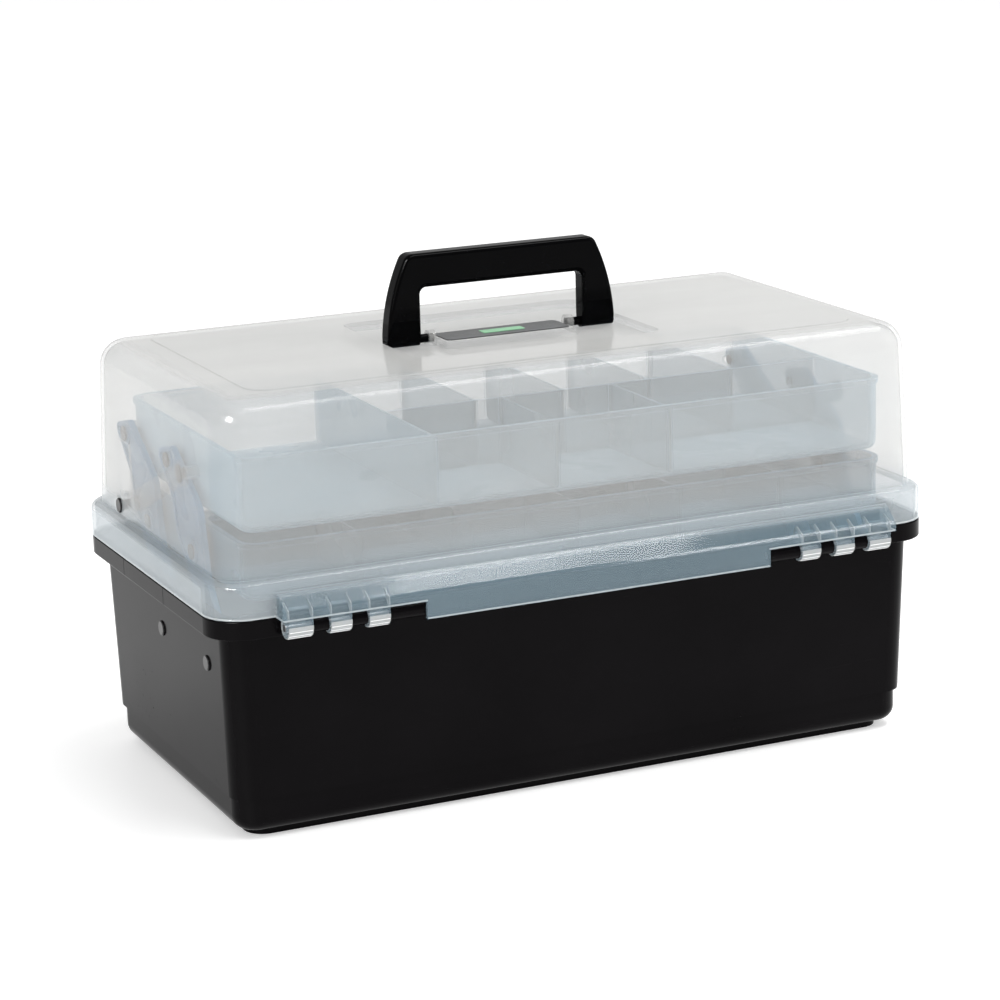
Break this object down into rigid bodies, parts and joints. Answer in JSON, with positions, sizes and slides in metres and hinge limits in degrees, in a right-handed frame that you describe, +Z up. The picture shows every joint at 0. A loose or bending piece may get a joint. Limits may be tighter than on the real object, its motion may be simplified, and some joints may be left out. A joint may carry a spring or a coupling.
{
  "type": "sewing box with trays",
  "caption": "Hinged sewing box with a black tub, a clear lid with a folding handle, and two cantilever trays.",
  "frame": {"origin": "centre of the footprint at floor level", "axes": "+X along the long side, +Y towards the hinge side, +Z up"},
  "size_m": [0.44, 0.258, 0.293],
  "materials": {
    "black_gloss": "gloss",
    "clear_lid": "milky clear, gloss",
    "blue_clear": "translucent, satin",
    "rod_steel": "drawn wire",
    "badge_grey": "satin",
    "badge_green": "printed"
  },
  "bodies": {
    "base": {"tub": "black_gloss", "hinge_rod_right": "rod_steel", "hinge_rod_left": "rod_steel", "arm_pins_right": "black_gloss", "arm_pins_left": "black_gloss"},
    "lid_assembly": {"lid": "clear_lid", "badge": "badge_grey", "badge_stripe": "badge_green", "latch_pin_right": "rod_steel", "latch_pin_left": "rod_steel", "lid_link_pins": "black_gloss"},
    "carrying_handle": {"handle": "black_gloss"},
    "right_latch": {"latch_right": "black_gloss"},
    "left_latch": {"latch_left": "black_gloss"},
    "rear_arms": {"rear_arm_right": "blue_clear", "rear_arm_left": "blue_clear"},
    "front_arms": {"front_arm_right": "blue_clear", "front_arm_left": "blue_clear"},
    "lower_tray_assembly": {"lower_tray": "blue_clear", "lower_tray_dividers": "blue_clear", "lower_tray_pins": "black_gloss"},
    "upper_tray_assembly": {"upper_tray": "blue_clear", "upper_tray_dividers": "blue_clear", "upper_tray_pins": "black_gloss"},
    "lid_links": {"lid_link_right": "clear_lid", "lid_link_left": "clear_lid", "lid_link_rivets": "black_gloss"}
  },
  "joints": [
    {"name": "lid_hinge", "type": "hinge", "parent": "base", "child": "lid_assembly", "pos_m": [0, 0.1226, 0.123], "axis": [-1, 0, 0], "range_deg": [0, 100]},
    {"name": "handle_hinge", "type": "hinge", "parent": "lid_assembly", "child": "carrying_handle", "pos_m": [0, 0, 0.2432], "axis": [-1, 0, 0], "range_deg": [-78, 78]},
    {"name": "latch_right_hinge", "type": "hinge", "parent": "lid_assembly", "child": "right_latch", "pos_m": [0.105, -0.1215, 0.1395], "axis": [-1, 0, 0], "range_deg": [-6.2, 90]},
    {"name": "latch_left_hinge", "type": "hinge", "parent": "lid_assembly", "child": "left_latch", "pos_m": [-0.105, -0.1215, 0.1395], "axis": [-1, 0, 0], "range_deg": [-6.2, 90]},
    {"name": "rear_arm_pivots", "type": "hinge", "parent": "base", "child": "rear_arms", "pos_m": [0, 0.0723, 0.0945], "axis": [-1, 0, 0], "range_deg": [0, 53]},
    {"name": "front_arm_pivots", "type": "hinge", "parent": "base", "child": "front_arms", "pos_m": [0, -0.00319, 0.0945], "axis": [-1, 0, 0], "range_deg": [0, 53]},
    {"name": "lower_tray_pivots", "type": "hinge", "parent": "rear_arms", "child": "lower_tray_assembly", "pos_m": [0, 0.03077, 0.14579], "axis": [-1, 0, 0], "range_deg": [-53, 0]},
    {"name": "upper_tray_pivots", "type": "hinge", "parent": "rear_arms", "child": "upper_tray_assembly", "pos_m": [0, -0.00511, 0.19009], "axis": [-1, 0, 0], "range_deg": [-53, 0]},
    {"name": "lid_link_pivots", "type": "hinge", "parent": "lid_assembly", "child": "lid_links", "pos_m": [0, -0.0616, 0.15298], "axis": [-1, 0, 0], "range_deg": [0, 41.61]}
  ],
  "couplings": [
    {"joint": "rear_arm_pivots", "follows": "lid_hinge", "ratio": 0.53},
    {"joint": "front_arm_pivots", "follows": "lid_hinge", "ratio": 0.53},
    {"joint": "lower_tray_pivots", "follows": "lid_hinge", "ratio": -0.53},
    {"joint": "upper_tray_pivots", "follows": "lid_hinge", "ratio": -0.53},
    {"joint": "lid_link_pivots", "follows": "lid_hinge", "ratio": 0.416}
  ]
}
